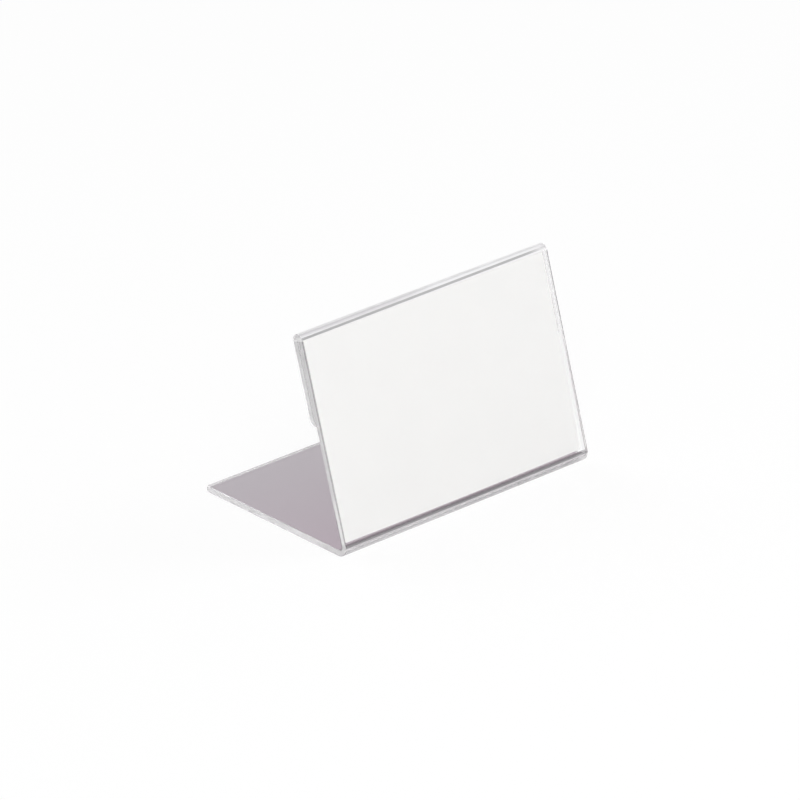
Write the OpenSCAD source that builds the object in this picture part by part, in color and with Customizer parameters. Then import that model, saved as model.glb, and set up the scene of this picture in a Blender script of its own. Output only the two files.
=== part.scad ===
// Slant-back table sign holder
// One strip of clear acrylic sheet, heat-bent twice: a foot that lies on the table, a panel that leans back
// over it, and a hairpin fold at the top that ends in a short back flap. The sign card slides in sideways
// between the panel and the flap, which pinch its upper part.
// Millimetres. +X runs along the sign, +Y to the rear, +Z up. The origin is under the middle of the foot.

/* [Sign card] */
// Width of the card
card_w = 85; // [55:1:210]
// Height of the card
card_h = 55; // [40:1:150]
// Thickness of the card stock
card_t = 0.25; // [0.15:0.05:0.5]

/* [Acrylic sheet] */
// Thickness of the sheet
sheet_t = 1.8; // [1:0.1:4]
// Bare sheet beside each end of the card
side_margin = 1; // [0.5:0.5:6]

/* [Foot] */
// Depth of the foot, from the front of the bend to its rear edge
foot_d = 55.5; // [40:0.5:120]
// Inside radius of the bend between foot and panel
bend_r = 1.2; // [0.6:0.1:3]

/* [Panel] */
// Angle that the panel leans back from upright
lean = 17; // [5:1:30]
// Flat strip of panel left bare between the bend and the card's lower edge
card_lift = 0.25; // [0.1:0.05:8]

/* [Fold] */
// Length of the back flap, from the top of the fold to its free edge
flap_l = 26; // [12:1:36]
// Radius of the flap's two lower corners
flap_corner_r = 3; // [0.5:0.5:6]
// Room on each side of the card in the slot
slot_clear = 0.05; // [0.05:0.05:0.2]
// Room between the card's top edge and the inside of the fold
head_clear = 0.4; // [0.2:0.1:2]

/* [Hidden] */
$fn = 96;

// The holder is as wide as the card and its margins, and its slot as wide as the card and its room
holder_w = card_w + 2 * side_margin;
slot_gap = card_t + 2 * slot_clear;

// The foot bend: its outside runs into the table and into the panel's front
bend_outer_r = bend_r + sheet_t;
bend_y = bend_outer_r - foot_d / 2;
foot_flat = foot_d - bend_outer_r;

// The hairpin fold: its axis lies in the middle of the slot, and the flats of panel and flap end beside it
fold_r = slot_gap / 2;
fold_outer_r = fold_r + sheet_t;
panel_flat = card_lift + card_h + head_clear - fold_r;
flap_flat = flap_l - fold_outer_r;

// The panel lies this hair behind the bend's tangent, so that flat and bend meet in one clean edge
seam_hair = 0.0002;

// Stands a side view up in the model: its X becomes +Y, its Y becomes +Z, and its Z runs along the sign
module stand_up() {
  rotate([90, 0, 90]) children();
}

// Side view, from the axis of the foot bend
module at_bend() {
  translate([bend_y, bend_outer_r, 0]) children();
}

// Side view of the panel: X across the sheet to the rear and Y up the slope, from the axis of the foot bend
module on_panel() {
  at_bend() rotate(-lean) translate([seam_hair, 0, 0]) children();
}

// Side view of the fold: as on the panel, from the axis of the fold
module on_fold() {
  on_panel() translate([fold_r - bend_r, panel_flat, 0]) children();
}

// Side view of half a turn of bent sheet about the origin, on its +Y side
module half_turn(inner_r) {
  outer_r = inner_r + sheet_t;
  difference() {
    circle(outer_r);
    circle(inner_r);
    translate([-outer_r, -2 * outer_r]) square(2 * outer_r);
  }
}

// Side view of the whole sheet, from the foot's rear edge to the flap's free edge
module sheet_profile() {
  translate([bend_y, 0]) square([foot_flat, sheet_t]);
  difference() {
    union() {
      at_bend() rotate(90) half_turn(bend_r);
      on_panel() translate([-bend_outer_r, 0]) square([sheet_t, panel_flat]);
    }
    at_bend() circle(bend_r);
    on_panel() translate([-bend_r, 0]) square(2 * bend_outer_r);
  }
  on_fold() half_turn(fold_r);
  on_fold() translate([fold_r, -flap_flat]) square([sheet_t, flap_flat]);
}

// Side view of the flap's free end: X past its edge and Y across the sheet to the rear, from its inner face
module at_flap_end() {
  on_fold() translate([fold_r, -flap_flat, 0]) rotate(-90) children();
}

// What the cutter takes off the two corners of the flap's free end
module flap_corner_cuts() {
  at_flap_end() for (side = [0, 1]) mirror([0, 0, side])
    translate([-flap_corner_r, 0, holder_w / 2 - flap_corner_r])
      rotate([-90, 0, 0]) translate([0, -2 * flap_corner_r, 0]) difference() {
        cube([2 * flap_corner_r, 2 * flap_corner_r, sheet_t]);
        translate([0, 2 * flap_corner_r, 0]) cylinder(h = sheet_t, r = flap_corner_r);
      }
}

// The whole holder is this one piece of sheet
module bent_sheet() {
  color([0.86, 0.84, 0.87, 0.45]) stand_up() difference() {
    linear_extrude(holder_w, center = true) sheet_profile();
    flap_corner_cuts();
  }
}

// The card stands behind the panel, pushed up near the inside of the fold
module sign_card() {
  color([0.95, 0.955, 0.945]) stand_up() on_panel()
    translate([slot_clear - bend_r, card_lift, -card_w / 2]) cube([card_t, card_h, card_w]);
}

bent_sheet();
sign_card();
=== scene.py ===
from math import cos, pi, radians, sin

import bmesh
import bpy
from mathutils import Matrix, Vector


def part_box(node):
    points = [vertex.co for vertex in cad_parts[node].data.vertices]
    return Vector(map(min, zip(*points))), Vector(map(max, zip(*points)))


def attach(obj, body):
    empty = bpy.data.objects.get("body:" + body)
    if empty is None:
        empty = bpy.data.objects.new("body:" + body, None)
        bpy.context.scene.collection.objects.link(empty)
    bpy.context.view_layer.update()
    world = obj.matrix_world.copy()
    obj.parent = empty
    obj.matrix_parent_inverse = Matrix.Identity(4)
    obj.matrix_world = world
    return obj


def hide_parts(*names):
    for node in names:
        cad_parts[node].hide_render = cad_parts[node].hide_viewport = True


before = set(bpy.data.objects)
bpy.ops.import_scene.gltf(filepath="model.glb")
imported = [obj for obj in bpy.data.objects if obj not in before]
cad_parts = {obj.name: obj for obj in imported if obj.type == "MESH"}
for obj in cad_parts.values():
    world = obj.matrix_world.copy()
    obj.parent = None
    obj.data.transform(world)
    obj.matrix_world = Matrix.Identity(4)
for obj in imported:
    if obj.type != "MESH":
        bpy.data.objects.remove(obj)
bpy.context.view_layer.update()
mm = 0.001
print("frame loaded:", ", ".join(sorted(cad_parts)))


# Node tree helpers

def addNode(tree, kind, **settings):
    node = tree.nodes.new(kind)
    for name, value in settings.items():
        setattr(node, name, value)
    return node


def feed(tree, socket, value):  # links another node's output, or sets a plain value
    if isinstance(value, bpy.types.NodeSocket):
        tree.links.new(value, socket)
    else:
        socket.default_value = value


def axes(tree, vector):
    node = addNode(tree, "ShaderNodeSeparateXYZ")
    feed(tree, node.inputs[0], vector)
    return node.outputs


def maths(tree, operation, *values):
    node = addNode(tree, "ShaderNodeMath", operation=operation)
    for socket, value in zip(node.inputs, values):
        feed(tree, socket, value)
    return node.outputs[0]


def times(tree, first, *others):
    for other in others:
        first = maths(tree, "MULTIPLY", first, other)
    return first


def above(tree, value, limit):
    return maths(tree, "GREATER_THAN", value, limit)


def below(tree, value, limit):
    return maths(tree, "LESS_THAN", value, limit)


def mapRange(tree, value, fromMin, fromMax, toMin, toMax, smooth=False):
    node = addNode(tree, "ShaderNodeMapRange", interpolation_type="SMOOTHSTEP" if smooth else "LINEAR")
    for name, setting in (("Value", value), ("From Min", fromMin), ("From Max", fromMax),
                          ("To Min", toMin), ("To Max", toMax)):
        feed(tree, node.inputs[name], setting)
    return node.outputs["Result"]


def rise(tree, value, start, end):
    return mapRange(tree, value, start, end, 0, 1, smooth=True)


def fall(tree, value, start, end):
    return mapRange(tree, value, start, end, 1, 0, smooth=True)


def band(tree, value, start, end, fade):  # 1 from start to end, fading out over a short way on both sides
    return times(tree, rise(tree, value, start - fade, start), fall(tree, value, end, end + fade))


def mixColour(tree, share, first, second):
    node = addNode(tree, "ShaderNodeMix", data_type="RGBA")
    feed(tree, node.inputs["Factor"], share)
    for name, colour in (("A", first), ("B", second)):
        socket = next(s for s in node.inputs if s.name == name and s.type == "RGBA")
        feed(tree, socket, colour if isinstance(colour, bpy.types.NodeSocket) else (*colour, 1))
    return next(s for s in node.outputs if s.type == "RGBA")


def paint(tree, colour, coats):  # lays each coat, a share and a tint, over what is there
    for share, tint in coats:
        colour = mixColour(tree, share, colour, tint)
    return colour


def noise(tree, vector, scale, detail=2.0):
    node = addNode(tree, "ShaderNodeTexNoise")
    feed(tree, node.inputs["Vector"], vector)
    feed(tree, node.inputs["Scale"], scale)
    node.inputs["Detail"].default_value = detail
    return node.outputs[0]


def stretched(tree, vector, scale, angle):
    node = addNode(tree, "ShaderNodeMapping")
    feed(tree, node.inputs["Vector"], vector)
    node.inputs["Scale"].default_value = scale
    node.inputs["Rotation"].default_value = (0, 0, angle)
    return node.outputs["Vector"]


def bump(tree, height, distance, strength=1.0):
    node = addNode(tree, "ShaderNodeBump")
    feed(tree, node.inputs["Height"], height)
    node.inputs["Distance"].default_value = distance
    node.inputs["Strength"].default_value = strength
    return node.outputs["Normal"]


def attribute(tree, name):
    return addNode(tree, "ShaderNodeAttribute", attribute_name=name).outputs["Fac"]


def mixShader(tree, share, first, second):
    node = addNode(tree, "ShaderNodeMixShader")
    for socket, value in zip(node.inputs, (share, first, second)):
        feed(tree, socket, value)
    return node.outputs[0]


def newGroup(name, kind, takes, gives):
    tree = bpy.data.node_groups.new(name, kind)
    for label, sort in takes:
        tree.interface.new_socket(label, in_out="INPUT", socket_type="NodeSocket" + sort)
    for label, sort in gives:
        tree.interface.new_socket(label, in_out="OUTPUT", socket_type="NodeSocket" + sort)
    return tree, addNode(tree, "NodeGroupInput").outputs, addNode(tree, "NodeGroupOutput").inputs


def startMaterial(name):
    material = bpy.data.materials.new(name)
    material.use_nodes = True
    tree = material.node_tree
    tree.nodes.clear()
    return material, tree, addNode(tree, "ShaderNodeOutputMaterial").inputs["Surface"]


def objectSpot(tree):
    return addNode(tree, "ShaderNodeTexCoord").outputs["Object"]


# Camera at the photographed angle

viewpoint = {
    "azimuth": radians(-42.189),
    "elevation": radians(25.021),
    "roll": radians(-0.133),
    "aim": Vector((0, 0, 25 * mm)),
    "shiftRight": 0.541 * mm,
    "shiftUp": -2.106 * mm,
    "distance": 1811 * mm,
    "lens": 307.1,
}


def setCamera(view):
    back = Vector((sin(view["azimuth"]) * cos(view["elevation"]),
                   -cos(view["azimuth"]) * cos(view["elevation"]), sin(view["elevation"])))
    right = Vector((cos(view["azimuth"]), sin(view["azimuth"]), 0))
    up = back.cross(right)
    turnedRight = right * cos(view["roll"]) + up * sin(view["roll"])
    turnedUp = up * cos(view["roll"]) - right * sin(view["roll"])
    turn = Matrix((turnedRight, turnedUp, back)).transposed().to_4x4()
    place = view["aim"] + right * view["shiftRight"] + up * view["shiftUp"] + back * view["distance"]
    camera = bpy.data.objects.new("camera", bpy.data.cameras.new("camera"))
    camera.data.lens = view["lens"]
    camera.matrix_world = Matrix.Translation(place) @ turn
    bpy.context.scene.collection.objects.link(camera)
    bpy.context.scene.camera = camera


setCamera(viewpoint)
print("camera set")


# Marks that handling leaves on polished acrylic, shared by its faces, its cut edges and its fold

marks = {
    "streakAngles": (0.5, 2.1),
    "streakStretch": (1, 0.03, 1),
    "streakLimits": (0.68, 0.74),
    "patchDetail": 3,
    "patchLimits": (0.45, 0.7),
}


def handlingMarksGroup(style):
    tree, given, out = newGroup(
        "handlingMarks", "ShaderNodeTree",
        (("Vector", "Vector"), ("Scratch Scale", "Float"), ("Smudge Scale", "Float")),
        (("Scratch", "Float"), ("Smudge", "Float")))
    hairlines = []
    for angle in style["streakAngles"]:
        way = stretched(tree, given["Vector"], style["streakStretch"], angle)
        streaks = noise(tree, way, given["Scratch Scale"])
        hairlines.append(mapRange(tree, streaks, *style["streakLimits"], 0, 1))
    patches = noise(tree, given["Vector"], given["Smudge Scale"], style["patchDetail"])
    feed(tree, out["Scratch"], maths(tree, "MAXIMUM", *hairlines))
    feed(tree, out["Smudge"], rise(tree, patches, *style["patchLimits"]))
    return tree


handlingMarks = handlingMarksGroup(marks)


def placeMarks(tree, spot, finish):
    node = addNode(tree, "ShaderNodeGroup", node_tree=handlingMarks)
    feed(tree, node.inputs["Vector"], spot)
    for name, scale in (("Scratch Scale", "scratchScale"), ("Smudge Scale", "smudgeScale")):
        if scale in finish:
            node.inputs[name].default_value = finish[scale]
    return node.outputs


# Clear acrylic

acrylic = {
    "ior": 1.49,
    "lampTint": (0.95, 0.945, 0.95),  # of lamp light that has passed a face
    "tintFade": 0.06 * mm,  # the way over which a painted tint fades out
}


def acrylicShader(tree, clearness, colour, roughness):
    gloss = addNode(tree, "ShaderNodeBsdfPrincipled")
    gloss.inputs["IOR"].default_value = acrylic["ior"]
    gloss.inputs["Transmission Weight"].default_value = clearness
    feed(tree, gloss.inputs["Base Color"], colour)
    feed(tree, gloss.inputs["Roughness"], roughness)
    return gloss


def letLampsThrough(tree, gloss, surface):  # lamp and bounce light go straight on, to light the card
    path = addNode(tree, "ShaderNodeLightPath")
    clear = addNode(tree, "ShaderNodeBsdfTransparent")
    clear.inputs["Color"].default_value = (*acrylic["lampTint"], 1)
    shader = gloss.outputs[0]
    for ray in ("Is Diffuse Ray", "Is Shadow Ray"):
        shader = mixShader(tree, path.outputs[ray], shader, clear.outputs[0])
    feed(tree, surface, shader)


def shifted(start, span):  # a span measured from start, as lengths along the blank
    return [start + place for place in span]


faceFinish = {
    "colour": (0.985, 0.985, 0.985),
    "clear": 1.0,
    "sideLimit": 0.5,  # how squarely a face looks to the inside or outside of the bends
    "undersideShadeFront": (0.115, 0.066, 0.098),  # painted shade: the clear foot's underside is tinted smoky mauve for the shaded ground seen through it, darker at the front
    "undersideShadeRear": (0.132, 0.104, 0.128),
    "undersideFade": 0.6 * mm,
    "rearFade": 0.7 * mm,  # the painted shade is lighter along the rear edge
    "rearShare": 0.86,
    "bendCreaseShade": (0.26, 0.245, 0.26),  # painted shade inside the foot bend
    "toeShadeLine": (0.24, 0.23, 0.24),  # painted shade line on the outside of the foot bend, where the panel starts
    "toeShadeLineSpan": (3.31 * mm, 3.72 * mm),
    "toeLowShade": (0.36, 0.35, 0.36),  # painted shade lower down on its outside
    "toeLowShadeSpan": (0.8 * mm, 2.85 * mm),
    "toeShade": (0.27, 0.262, 0.275),  # and deeper painted shade right of the middle
    "toeShadeSpan": (0.0 * mm, 16.0 * mm),
    "toeShadeFade": 9.0 * mm,
    "toeEndSpan": 5.0 * mm,  # and weaker at the right end
    "toeEndShare": 0.4,
    "foldCrease": (0.75, 0.74, 0.75),  # painted shade inside the top fold
    "slotEndShade": (0.35, 0.34, 0.35),  # painted shade inside the flap, along its left side
    "slotEndWidth": 0.45 * mm,
    "marginShade": (0.86, 0.855, 0.86),  # painted shade inside the panel, beside the card
    "rimShadeLine": (0.35, 0.345, 0.35),  # painted shade line on the panel's front, along both its sides
    "rimWidth": 0.28 * mm,
    "rimTopShade": (0.12, 0.115, 0.12),  # the same painted shade line beside the flap, on the right
    "rimTopWidth": 0.34 * mm,
    "scratchScale": 900,
    "smudgeScale": 45,
    "roughness": (0.015, 0.05),  # clean and smudged
    "scratchRoughness": 0.06,
    "rippleScale": 120,
    "rippleDetail": 1,
    "ripple": 0.004 * mm,
}


def faceColour(tree, spot, finish, part):
    place = axes(tree, spot)
    x = place["X"]
    outward = maths(tree, "ABSOLUTE", x)
    run = attribute(tree, "sheetRun")
    side = attribute(tree, "sheetSide")
    inside = above(tree, side, finish["sideLimit"])
    outside = below(tree, side, -finish["sideLimit"])
    edge = part["width"] / 2

    def stretch(start, end):
        return band(tree, run, start, end, acrylic["tintFade"])

    rearward = mapRange(tree, place["Y"], part["front"], part["rear"], 0, 1)
    undersideShade = mixColour(tree, rearward, finish["undersideShadeFront"], finish["undersideShadeRear"])
    foot = times(tree, mapRange(tree, run, 0, finish["rearFade"], finish["rearShare"], 1, smooth=True),
                 fall(tree, run, part["footFlat"], part["footFlat"] + finish["undersideFade"]))
    toeShadeLine = stretch(*shifted(part["footFlat"], finish["toeShadeLineSpan"]))
    toeEnd = mapRange(tree, x, edge - finish["toeEndSpan"], edge, 1, finish["toeEndShare"], smooth=True)
    toeLowShade = times(tree, toeEnd, stretch(*shifted(part["footFlat"], finish["toeLowShadeSpan"])))
    toeShade = times(tree, toeLowShade, band(tree, x, *finish["toeShadeSpan"], finish["toeShadeFade"]))
    panel = stretch(part["bendEnd"], part["foldStart"])
    slotEndShade = times(tree, above(tree, run, part["foldEnd"]), below(tree, x, finish["slotEndWidth"] - edge))
    marginShades = times(tree, panel, above(tree, outward, part["cardEnd"]))
    rims = times(tree, panel, above(tree, outward, edge - finish["rimWidth"]))
    rimTopShades = times(tree, panel, above(tree, run, part["foldStart"] - part["flapFlat"]),
                    above(tree, x, edge - finish["rimTopWidth"]))
    # every coat below is painted shade: the foot's underside, the creases, the slot, the margins and the rim
    # lines
    coats = [(outside, foot, undersideShade),
             (inside, stretch(part["footFlat"], part["bendEnd"]), finish["bendCreaseShade"]),
             (inside, stretch(part["foldStart"], part["foldEnd"]), finish["foldCrease"]),
             (inside, slotEndShade, finish["slotEndShade"]),
             (inside, marginShades, finish["marginShade"]),
             (outside, toeShadeLine, finish["toeShadeLine"]),
             (outside, toeLowShade, finish["toeLowShade"]),
             (outside, toeShade, finish["toeShade"]),
             (outside, rims, finish["rimShadeLine"]),
             (outside, rimTopShades, finish["rimTopShade"])]
    return paint(tree, finish["colour"], [(times(tree, face, share), tint) for face, share, tint in coats])


def acrylicFaces(finish, part):
    material, tree, surface = startMaterial("clearAcrylic")
    spot = objectSpot(tree)
    worn = placeMarks(tree, spot, finish)
    roughness = maths(tree, "ADD", mapRange(tree, worn["Smudge"], 0, 1, *finish["roughness"]),
                      times(tree, worn["Scratch"], finish["scratchRoughness"]))
    gloss = acrylicShader(tree, finish["clear"], faceColour(tree, spot, finish, part), roughness)
    ripple = noise(tree, spot, finish["rippleScale"], finish["rippleDetail"])
    feed(tree, gloss.inputs["Normal"], bump(tree, ripple, finish["ripple"]))
    letLampsThrough(tree, gloss, surface)
    return material


edgeFinish = {
    "low": (0.73, 0.72, 0.73),  # painted light: lighter near the table
    "high": (0.54, 0.53, 0.54),  # and painted shade at the top
    "smudgeShare": 0.1,  # how much of the way from low to high a smudge adds
    "toeEdgeShade": (0.665, 0.65, 0.66),  # painted shade round the foot bend
    "toeSpan": (-6.0 * mm, 3.0 * mm),
    "toeFade": 12.0 * mm,
    "fold": (0.80, 0.795, 0.80),  # painted light round the fold
    "paintedHighlight": (0.97, 0.965, 0.97),  # painted highlight just above the foot bend, at the foot's rear end, on the flap's rear rim and on the right
    "brightSpan": (1.0 * mm, 7.0 * mm),
    "brightRise": 1.5 * mm,
    "brightFade": 8.0 * mm,
    "rimShade": (0.22, 0.21, 0.22),  # painted shade along the panel's front rim, and low down on its rear rim
    "darkLow": 0.4,  # its share at the foot of the panel
    "darkSpan": (-2.6 * mm, 6.0 * mm),
    "rimSpan": (0.2 * mm, 0.5 * mm),
    "clear": 0.55,
    "smudgeScale": 160,
    "roughness": (0.16, 0.26),  # clean and smudged
}


def edgeColour(tree, spot, smudge, finish, part):
    place = axes(tree, spot)
    run = attribute(tree, "sheetRun")
    depth = attribute(tree, "sheetDepth")
    fade = acrylic["tintFade"]
    height = mapRange(tree, place["Z"], 0, part["top"], 0, 1)
    rimFull, rimEnd = (part["half"] - inward for inward in finish["rimSpan"])
    outerRim = fall(tree, depth, -rimFull, -rimEnd)
    innerRim = rise(tree, depth, rimEnd, rimFull)
    brightLow, brightHigh = shifted(part["bendEnd"], finish["brightSpan"])
    paintedHighlight = times(tree, rise(tree, run, brightLow - finish["brightRise"], brightLow),
                   fall(tree, run, brightHigh, brightHigh + finish["brightFade"]))
    darkLow, darkHigh = shifted(part["bendEnd"], finish["darkSpan"])
    lowPanel = times(tree, above(tree, run, darkLow),
                     fall(tree, run, darkHigh, darkHigh + finish["brightFade"]))
    panel = band(tree, run, part["bendEnd"], part["foldStart"], fade)
    frontRim = times(tree, panel, outerRim, mapRange(tree, height, 0, 1, finish["darkLow"], 1))
    toeEdgeShade = band(tree, run, *shifted(part["footFlat"], finish["toeSpan"]), finish["toeFade"])
    # every coat below is painted light or shade on the cut edges
    coats = [(toeEdgeShade, finish["toeEdgeShade"]),
             (paintedHighlight, finish["paintedHighlight"]),
             (below(tree, run, fade), finish["paintedHighlight"]),
             (band(tree, run, part["foldStart"], part["foldEnd"], fade), finish["fold"]),
             (times(tree, above(tree, run, part["foldEnd"]), outerRim), finish["paintedHighlight"]),
             (above(tree, place["X"], part["clearPast"]), finish["paintedHighlight"]),
             (frontRim, finish["rimShade"]),
             (times(tree, lowPanel, innerRim), finish["rimShade"])]
    # the cut edges' painted light and shade: lighter near the table, darker at the top
    shade = maths(tree, "MULTIPLY_ADD", smudge, finish["smudgeShare"], height)
    return paint(tree, mixColour(tree, shade, finish["low"], finish["high"]), coats)


def acrylicEdges(finish, part):
    material, tree, surface = startMaterial("cutAcrylicEdge")
    spot = objectSpot(tree)
    smudge = placeMarks(tree, spot, finish)["Smudge"]
    gloss = acrylicShader(tree, finish["clear"], edgeColour(tree, spot, smudge, finish, part),
                          mapRange(tree, smudge, 0, 1, *finish["roughness"]))
    letLampsThrough(tree, gloss, surface)
    return material


crownFinish = {
    "colour": (0.86, 0.855, 0.865),
    "dulled": 0.96,  # its share where it is smudged
    "clear": 0.4,  # the stretched outside of the fold is a little milky
    "inset": 0.12 * mm,
    "shadeLine": (0.32, 0.315, 0.325),  # painted shade line along both its ends
    "shadeLineSpan": (0.3 * mm, 0.6 * mm),
    "lineTilt": 0.003,
    "lineFade": (7.0 * mm, 1.5 * mm),  # the painted shade line is lighter towards the right
    "lineEnd": 0.4,
    "shade": (0.74, 0.735, 0.75),  # and a lighter painted shade band nearer its top
    "shadeSpan": (1.05 * mm, 1.3 * mm),
    "smudgeScale": 160,
    "roughness": (0.285, 0.325),  # a range that crosses 0.274 leaves hairlines in the denoised picture
}


def crownColour(tree, spot, smudge, finish, part):
    x = axes(tree, spot)["X"]
    run = attribute(tree, "sheetRun")
    inward = maths(tree, "MINIMUM", maths(tree, "SUBTRACT", run, part["foldStart"]),
                   maths(tree, "SUBTRACT", part["foldEnd"], run))
    tilted = maths(tree, "SUBTRACT", inward, times(tree, x, finish["lineTilt"]))
    fadeStart, fadeEnd = (part["width"] / 2 - inset for inset in finish["lineFade"])
    leftward = mapRange(tree, x, fadeStart, fadeEnd, 1, finish["lineEnd"], smooth=True)
    dulled = [channel * finish["dulled"] for channel in finish["colour"]]
    coats = [(smudge, dulled)]
    # a painted shade line near both ends of the crown, and a painted shade band further in
    for tint in ("shadeLine", "shade"):
        place = band(tree, tilted, *finish[tint + "Span"], acrylic["tintFade"])
        coats.append((times(tree, leftward, place), finish[tint]))
    return paint(tree, finish["colour"], coats)


def acrylicCrown(finish, part):
    material, tree, surface = startMaterial("foldedAcrylicCrown")
    spot = objectSpot(tree)
    smudge = placeMarks(tree, spot, finish)["Smudge"]
    gloss = acrylicShader(tree, finish["clear"], crownColour(tree, spot, smudge, finish, part),
                          mapRange(tree, smudge, 0, 1, *finish["roughness"]))
    letLampsThrough(tree, gloss, surface)
    return material


# Plain white card

cardStock = {
    "colour": (0.90, 0.905, 0.885),
    "fibreColour": (0.872, 0.876, 0.858),
    "fibreScale": 2600,
    "fibreDetail": 4,
    "fibreStretch": (1, 1, 0.35),
    "fibreAngle": 0.3,
    "fibreLimits": (0.35, 0.65),
    "fibreDepth": 0.006 * mm,
    "fibreBump": 0.6,
    "cloudScale": 90,
    "cloudDetail": 3,
    "cloudLimits": (0.3, 0.7),
    "cloudShares": (0.3, 1),  # how strongly the fibres show from place to place
    "specular": 0.3,
    "roughness": (0.82, 0.95),
    "roughnessLimits": (0.3, 0.7),
}


def cardPaper(finish):
    material, tree, surface = startMaterial("whiteCard")
    spot = objectSpot(tree)
    grain = stretched(tree, spot, finish["fibreStretch"], finish["fibreAngle"])
    fibres = noise(tree, grain, finish["fibreScale"], finish["fibreDetail"])
    cloud = noise(tree, spot, finish["cloudScale"], finish["cloudDetail"])
    blend = times(tree, mapRange(tree, fibres, *finish["fibreLimits"], 0, 1),
                  mapRange(tree, cloud, *finish["cloudLimits"], *finish["cloudShares"]))
    paper = addNode(tree, "ShaderNodeBsdfPrincipled")
    paper.inputs["Specular IOR Level"].default_value = finish["specular"]
    feed(tree, paper.inputs["Base Color"], mixColour(tree, blend, finish["colour"], finish["fibreColour"]))
    feed(tree, paper.inputs["Roughness"],
         mapRange(tree, fibres, *finish["roughnessLimits"], *finish["roughness"]))
    feed(tree, paper.inputs["Normal"], bump(tree, fibres, finish["fibreDepth"], finish["fibreBump"]))
    feed(tree, surface, paper.outputs[0])
    return material


# Flat plates, which both pieces start from

roundProfile = 0.5


def roundedPlate(size, width, length):
    plate = bmesh.new()
    thickness = size["thickness"]
    outline = []
    for corner, (x, y) in enumerate(((1, 1), (-1, 1), (-1, -1), (1, -1))):
        radius = size["farCorner"] if y > 0 else size["nearCorner"]
        for step in range(size["cornerSteps"] + 1):
            angle = (corner + step / size["cornerSteps"]) * pi / 2
            place = (x * (width / 2 - radius) + radius * cos(angle),
                     y * (length / 2 - radius) + radius * sin(angle), -thickness / 2)
            outline.append(plate.verts.new(place))
    under = plate.faces.new(outline)
    raised = bmesh.ops.extrude_face_region(plate, geom=[under])["geom"]
    upper = [item for item in raised if isinstance(item, bmesh.types.BMVert)]
    bmesh.ops.translate(plate, vec=(0, 0, thickness), verts=upper)
    bmesh.ops.recalc_face_normals(plate, faces=plate.faces)
    rims = [edge for edge in plate.edges if any(len(face.verts) > 4 for face in edge.link_faces)]
    bmesh.ops.bevel(plate, geom=rims, offset=size["rimRound"], offset_type="OFFSET",
                    segments=size["rimSteps"], profile=roundProfile, affect="EDGES")
    return plate


def cutAcross(plate, way, places):
    for place in places:
        bmesh.ops.bisect_plane(plate, geom=plate.verts[:] + plate.edges[:] + plate.faces[:],
                               plane_co=way * place, plane_no=way)


def finishedObject(name, plate):
    order = sorted(plate.verts, key=lambda vert: vert.co[:])  # the plate's own order changes from run to run
    rank = {vert: place for place, vert in enumerate(order)}
    rings = sorted([rank[vert] for vert in face.verts] for face in plate.faces)
    mesh = bpy.data.meshes.new(name)
    mesh.from_pydata([vert.co[:] for vert in order], [], rings)
    plate.free()
    mesh.shade_smooth()
    piece = bpy.data.objects.new(name, mesh)
    bpy.context.scene.collection.objects.link(piece)
    return piece


def applyModifiers(piece):
    view = bpy.context.evaluated_depsgraph_get()
    made = bpy.data.meshes.new_from_object(piece.evaluated_get(view), depsgraph=view)
    piece.modifiers.clear()
    piece.data = made
    made.name = piece.name


# The bent sheet: a flat cut blank, heat-bent twice

bentSheet = {
    "thickness": 1.8 * mm,
    "bendInside": 1.2 * mm,
    "lean": radians(17),
    "slotGap": 0.35 * mm,
    "flapLength": 26 * mm,
    "nearCorner": 0.2 * mm,  # at the foot's rear edge
    "farCorner": 3 * mm,  # at the flap's free edge
    "cornerSteps": 10,
    "rimRound": 0.16 * mm,
    "rimSteps": 3,
    "bendSteps": 32,
    "foldSteps": 40,
    "edgeFacing": 0.7,  # a face that looks less than this to either side of the sheet is a cut edge
}


def measureSheet(size):  # lengths of the blank's straights and bends, from the frame's box
    low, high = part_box("bent_sheet")
    half = size["thickness"] / 2
    bendOutside = size["bendInside"] + size["thickness"]
    foldInside = size["slotGap"] / 2
    foldOutside = foldInside + size["thickness"]
    climb = high.z - bendOutside - foldOutside + (foldInside - size["bendInside"]) * sin(size["lean"])
    part = {
        "half": half,
        "width": high.x - low.x,
        "front": low.y,
        "rear": high.y,
        "top": high.z,
        "footFlat": high.y - low.y - bendOutside,
        "bendRadius": size["bendInside"] + half,
        "bendAngle": pi / 2 + size["lean"],
        "panelFlat": climb / cos(size["lean"]),
        "foldRadius": foldInside + half,
        "foldAngle": pi,
        "flapFlat": size["flapLength"] - foldOutside,
    }
    part["bendEnd"] = part["footFlat"] + part["bendRadius"] * part["bendAngle"]
    part["foldStart"] = part["bendEnd"] + part["panelFlat"]
    part["foldEnd"] = part["foldStart"] + part["foldRadius"] * part["foldAngle"]
    part["length"] = part["foldEnd"] + part["flapFlat"]
    part["cardEnd"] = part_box("sign_card")[1].x
    part["clearPast"] = part["width"] / 2 - size["farCorner"]
    return part


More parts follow.
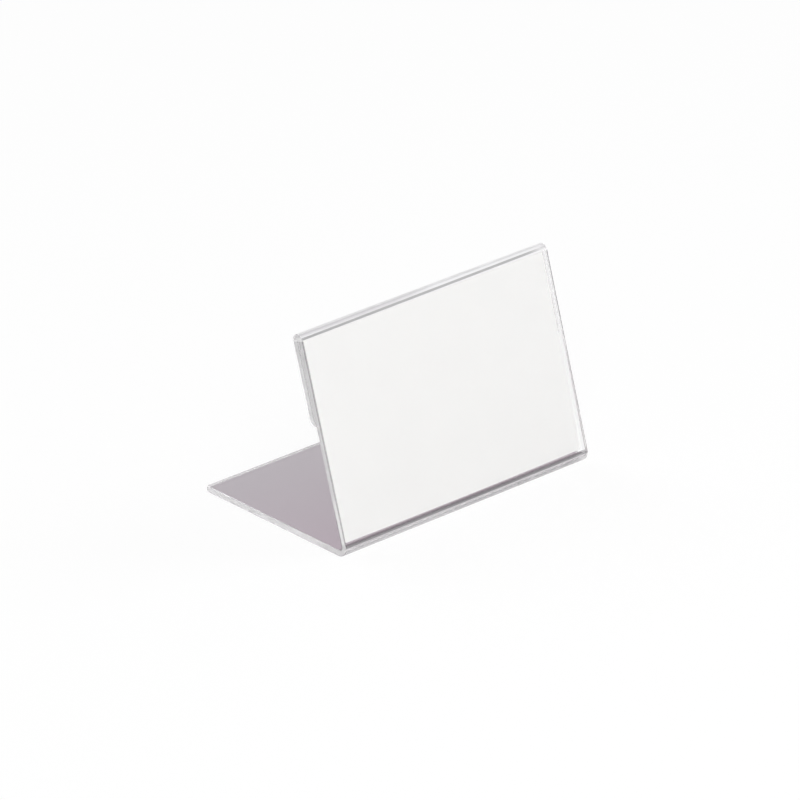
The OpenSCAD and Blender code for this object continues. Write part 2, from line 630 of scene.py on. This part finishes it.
def heatBendGroup():  # rolls the sheet up round an axis above it, and carries on straight past the bend
    tree, given, out = newGroup(
        "heatBend", "GeometryNodeTree",
        (("Geometry", "Geometry"), ("Start", "Float"), ("Radius", "Float"), ("Angle", "Float")),
        (("Geometry", "Geometry"),))
    spot = axes(tree, addNode(tree, "GeometryNodeInputPosition").outputs[0])
    past = maths(tree, "SUBTRACT", spot["Y"], given["Start"])
    arc = times(tree, given["Radius"], given["Angle"])
    rolled = maths(tree, "MINIMUM", maths(tree, "MAXIMUM", past, 0.0), arc)
    turn = maths(tree, "DIVIDE", rolled, given["Radius"])
    straight = maths(tree, "SUBTRACT", past, rolled)
    sine = maths(tree, "SINE", turn)
    cosine = maths(tree, "COSINE", turn)
    reach = maths(tree, "SUBTRACT", given["Radius"], spot["Z"])
    forward = maths(tree, "ADD", times(tree, reach, sine), times(tree, straight, cosine))
    down = maths(tree, "SUBTRACT", times(tree, reach, cosine), times(tree, straight, sine))
    bent = addNode(tree, "ShaderNodeCombineXYZ")
    feed(tree, bent.inputs["X"], spot["X"])
    feed(tree, bent.inputs["Y"], maths(tree, "ADD", given["Start"], forward))
    feed(tree, bent.inputs["Z"], maths(tree, "SUBTRACT", given["Radius"], down))
    move = addNode(tree, "GeometryNodeSetPosition")
    feed(tree, move.inputs["Geometry"], given["Geometry"])
    feed(tree, move.inputs["Position"], bent.outputs[0])
    feed(tree, out["Geometry"], move.outputs[0])
    return tree


def keepFacts(tree, sheet, facts):  # stores places on the blank, which the finishes read once it is bent
    for name, domain, value in facts:
        keep = addNode(tree, "GeometryNodeStoreNamedAttribute", data_type="FLOAT", domain=domain)
        keep.inputs["Name"].default_value = name
        feed(tree, keep.inputs["Geometry"], sheet)
        feed(tree, keep.inputs["Value"], value)
        sheet = keep.outputs[0]
    return sheet


def setFinishes(tree, sheet, finishes):
    for finish, where in finishes:
        coat = addNode(tree, "GeometryNodeSetMaterial")
        feed(tree, coat.inputs["Geometry"], sheet)
        feed(tree, coat.inputs["Material"], finish)
        if where:
            mask = addNode(tree, "GeometryNodeInputNamedAttribute", data_type="FLOAT")
            mask.inputs["Name"].default_value = where
            feed(tree, coat.inputs["Selection"], mask.outputs[0])
        sheet = coat.outputs[0]
    return sheet


def bentSheetTree(edgeFacing):
    tree, given, out = newGroup(
        "bentSheetTree", "GeometryNodeTree",
        (("Geometry", "Geometry"),
         ("Foot Flat", "Float"), ("Bend Radius", "Float"), ("Bend Angle", "Float"),
         ("Fold Start", "Float"), ("Fold Radius", "Float"), ("Fold Angle", "Float"),
         ("Crown Start", "Float"), ("Crown End", "Float"), ("Clear Past", "Float"), ("Place", "Vector"),
         ("Face Finish", "Material"), ("Edge Finish", "Material"), ("Crown Finish", "Material")),
        (("Geometry", "Geometry"),))
    facing = axes(tree, addNode(tree, "GeometryNodeInputNormal").outputs[0])
    spot = axes(tree, addNode(tree, "GeometryNodeInputPosition").outputs[0])
    isUpright = below(tree, maths(tree, "ABSOLUTE", facing["Z"]), edgeFacing)
    onFlap = above(tree, spot["Y"], given["Crown End"])
    isClear = times(tree, onFlap, below(tree, spot["X"], given["Clear Past"]))
    isEdge = times(tree, isUpright, maths(tree, "SUBTRACT", 1.0, isClear))
    isCrown = times(tree, below(tree, facing["Z"], -edgeFacing),
                    above(tree, spot["Y"], given["Crown Start"]), below(tree, spot["Y"], given["Crown End"]))
    sheet = keepFacts(tree, given["Geometry"], (
        ("sheetRun", "POINT", spot["Y"]), ("sheetDepth", "POINT", spot["Z"]),
        ("sheetSide", "FACE", facing["Z"]), ("cutEdge", "FACE", isEdge), ("foldCrown", "FACE", isCrown)))
    heatBend = heatBendGroup()
    for start, radius, angle in (("Fold Start", "Fold Radius", "Fold Angle"),
                                 ("Foot Flat", "Bend Radius", "Bend Angle")):
        bend = addNode(tree, "GeometryNodeGroup", node_tree=heatBend)
        for name, value in (("Geometry", sheet), ("Start", given[start]),
                            ("Radius", given[radius]), ("Angle", given[angle])):
            feed(tree, bend.inputs[name], value)
        sheet = bend.outputs[0]
    place = addNode(tree, "GeometryNodeTransform")
    feed(tree, place.inputs["Geometry"], sheet)
    feed(tree, place.inputs["Translation"], given["Place"])
    place.inputs["Rotation"].default_value = (0, 0, pi)
    whole = addNode(tree, "GeometryNodeRealizeInstances")
    feed(tree, whole.inputs[0], place.outputs[0])
    sheet = setFinishes(tree, whole.outputs[0], (
        (given["Face Finish"], None),
        (given["Edge Finish"], "cutEdge"),
        (given["Crown Finish"], "foldCrown")))
    feed(tree, out["Geometry"], sheet)
    return tree


def setInputs(modifier, tree, values):
    for item in tree.interface.items_tree:
        if item.in_out == "INPUT" and item.name in values:
            modifier[item.identifier] = values[item.name]


def makeBentSheet(size):
    part = measureSheet(size)
    blank = roundedPlate(size, part["width"], part["length"])
    bmesh.ops.translate(blank, vec=(0, part["length"] / 2, 0), verts=blank.verts)
    for start, radius, angle, steps in (
            (part["footFlat"], part["bendRadius"], part["bendAngle"], size["bendSteps"]),
            (part["foldStart"], part["foldRadius"], part["foldAngle"], size["foldSteps"])):
        creases = [start + radius * angle * step / steps for step in range(steps + 1)]
        cutAcross(blank, Vector((0, 1, 0)), creases)
    sheet = finishedObject("clearBentSheet", blank)
    tree = bentSheetTree(size["edgeFacing"])
    bender = sheet.modifiers.new("bend", "NODES")
    bender.node_group = tree
    setInputs(bender, tree, {
        "Foot Flat": part["footFlat"], "Bend Radius": part["bendRadius"], "Bend Angle": part["bendAngle"],
        "Fold Start": part["foldStart"], "Fold Radius": part["foldRadius"], "Fold Angle": part["foldAngle"],
        "Crown Start": part["foldStart"] + crownFinish["inset"],
        "Crown End": part["foldEnd"] - crownFinish["inset"],
        "Clear Past": -part["clearPast"],  # the flap's right end is polished clear
        "Place": (0, part["rear"], part["half"]),
        "Face Finish": acrylicFaces(faceFinish, part),
        "Edge Finish": acrylicEdges(edgeFinish, part),
        "Crown Finish": acrylicCrown(crownFinish, part)})
    sheet.modifiers.new("polish", "WEIGHTED_NORMAL")
    applyModifiers(sheet)
    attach(sheet, "holder")
    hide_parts("bent_sheet")
    print("bent sheet:", len(sheet.data.polygons), "faces, blank", round(part["length"] / mm, 1), "mm long")


makeBentSheet(bentSheet)


# The sign card

signCard = {
    "width": 85 * mm,
    "height": 55 * mm,
    "thickness": 0.25 * mm,
    "nearCorner": 0.3 * mm,
    "farCorner": 0.3 * mm,
    "cornerSteps": 4,
    "rimRound": 0.04 * mm,
    "rimSteps": 2,
    "curlStart": 3 * mm,  # above the card's middle: the flap holds it flat from there up
    "curl": 0.15 * mm,  # how far the middle of its lower edge bows back
    "cornerCurl": 0.8 * mm,  # and its lower corners
    "curlRows": 14,
    "curlColumns": 16,
}


def makeSignCard(size, lean):
    card = roundedPlate(size, size["width"], size["height"])
    foot = -size["height"] / 2
    free = size["curlStart"] - foot
    rows, columns = size["curlRows"], size["curlColumns"]
    cutAcross(card, Vector((0, 1, 0)), [foot + free * (row + 1) / rows for row in range(rows)])
    cutAcross(card, Vector((1, 0, 0)),
              [size["width"] * (column / columns - 0.5) for column in range(1, columns)])
    for vert in card.verts:  # the free lower part bows back a little from the panel
        hang = max(size["curlStart"] - vert.co.y, 0) / free
        outward = 2 * vert.co.x / size["width"]
        vert.co.z -= (size["curl"] + (size["cornerCurl"] - size["curl"]) * outward ** 2) * hang ** 2
    low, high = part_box("sign_card")
    stand = Matrix.Translation((low + high) / 2) @ Matrix.Rotation(pi / 2 - lean, 4, "X")
    bmesh.ops.transform(card, matrix=stand, verts=card.verts)
    piece = finishedObject("whiteSignCard", card)
    piece.data.materials.append(cardPaper(cardStock))
    piece.modifiers.new("soften", "WEIGHTED_NORMAL")
    applyModifiers(piece)
    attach(piece, "card")
    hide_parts("sign_card")
    print("sign card:", len(piece.data.polygons), "faces")


makeSignCard(signCard, bentSheet["lean"])


# Studio: pale floor, white surroundings, soft lamps

studio = {
    "floorSize": 12.0,
    "floorDrop": 0.05 * mm,
    "floorColour": (0.93, 0.93, 0.93),
    "whiteShare": 0.86,  # how far the seen floor is plain white; the rest shows the soft shadow
    "ambient": 0.385,
    "seenStrength": (1.0, 0.45),  # white all round, and darker overhead
    "seenHeight": (0.45, 0.95),  # how steeply a ray looks up where that starts and ends
    "lamps": (  # name, place, side and power
        ("keyLamp", (-0.55, -0.75, 0.85), 0.7, 8.3),
        ("fillLamp", (0.85, -0.45, 0.55), 0.6, 3.85),
        ("rearLamp", (-0.1, 0.9, 0.9), 0.7, 4.4),
    ),
    "aim": (0, 0, 25 * mm),
    "bounces": 64,  # light runs a long way inside clear sheet before it comes out of an edge
}


def seenRays(tree):  # 1 for rays that show a picture of the surroundings, 0 for rays that light something
    path = addNode(tree, "ShaderNodeLightPath")
    seen = maths(tree, "MAXIMUM", path.outputs["Is Camera Ray"], path.outputs["Is Glossy Ray"])
    return maths(tree, "MAXIMUM", seen, path.outputs["Is Transmission Ray"])


def makeFloor(plan):
    material, tree, surface = startMaterial("paleFloor")
    matte = addNode(tree, "ShaderNodeBsdfDiffuse")
    matte.inputs["Color"].default_value = (*plan["floorColour"], 1)
    white = addNode(tree, "ShaderNodeEmission")
    share = times(tree, seenRays(tree), plan["whiteShare"])
    feed(tree, surface, mixShader(tree, share, matte.outputs[0], white.outputs[0]))
    plane = bmesh.new()
    bmesh.ops.create_grid(plane, x_segments=1, y_segments=1, size=plan["floorSize"] / 2)
    bmesh.ops.translate(plane, vec=(0, 0, -plan["floorDrop"]), verts=plane.verts)
    mesh = bpy.data.meshes.new("floor")
    plane.to_mesh(mesh)
    plane.free()
    mesh.materials.append(material)
    floor = bpy.data.objects.new("floor", mesh)
    bpy.context.scene.collection.objects.link(floor)


def makeWorld(plan):
    world = bpy.data.worlds.new("studio")
    bpy.context.scene.world = world
    world.use_nodes = True
    tree = world.node_tree
    tree.nodes.clear()
    around = addNode(tree, "ShaderNodeBackground")
    seen = addNode(tree, "ShaderNodeBackground")
    for shade in (around, seen):
        shade.inputs["Color"].default_value = (1, 1, 1, 1)
    around.inputs["Strength"].default_value = plan["ambient"]
    height = axes(tree, addNode(tree, "ShaderNodeTexCoord").outputs["Generated"])["Z"]
    feed(tree, seen.inputs["Strength"], mapRange(tree, height, *plan["seenHeight"], *plan["seenStrength"]))
    surface = addNode(tree, "ShaderNodeOutputWorld").inputs["Surface"]
    feed(tree, surface, mixShader(tree, seenRays(tree), around.outputs[0], seen.outputs[0]))


def makeLamps(plan):
    for name, place, side, power in plan["lamps"]:
        data = bpy.data.lights.new(name, "AREA")
        data.size = side
        data.energy = power
        lamp = bpy.data.objects.new(name, data)
        towards = Vector(plan["aim"]) - Vector(place)
        turn = towards.to_track_quat("-Z", "Y").to_matrix().to_4x4()
        lamp.matrix_world = Matrix.Translation(place) @ turn
        bpy.context.scene.collection.objects.link(lamp)


makeFloor(studio)
makeWorld(studio)
makeLamps(studio)
for limit in ("max_bounces", "transmission_bounces", "glossy_bounces"):
    setattr(bpy.context.scene.cycles, limit, studio["bounces"])
bpy.context.scene.view_settings.view_transform = "Standard"
print("studio ready")
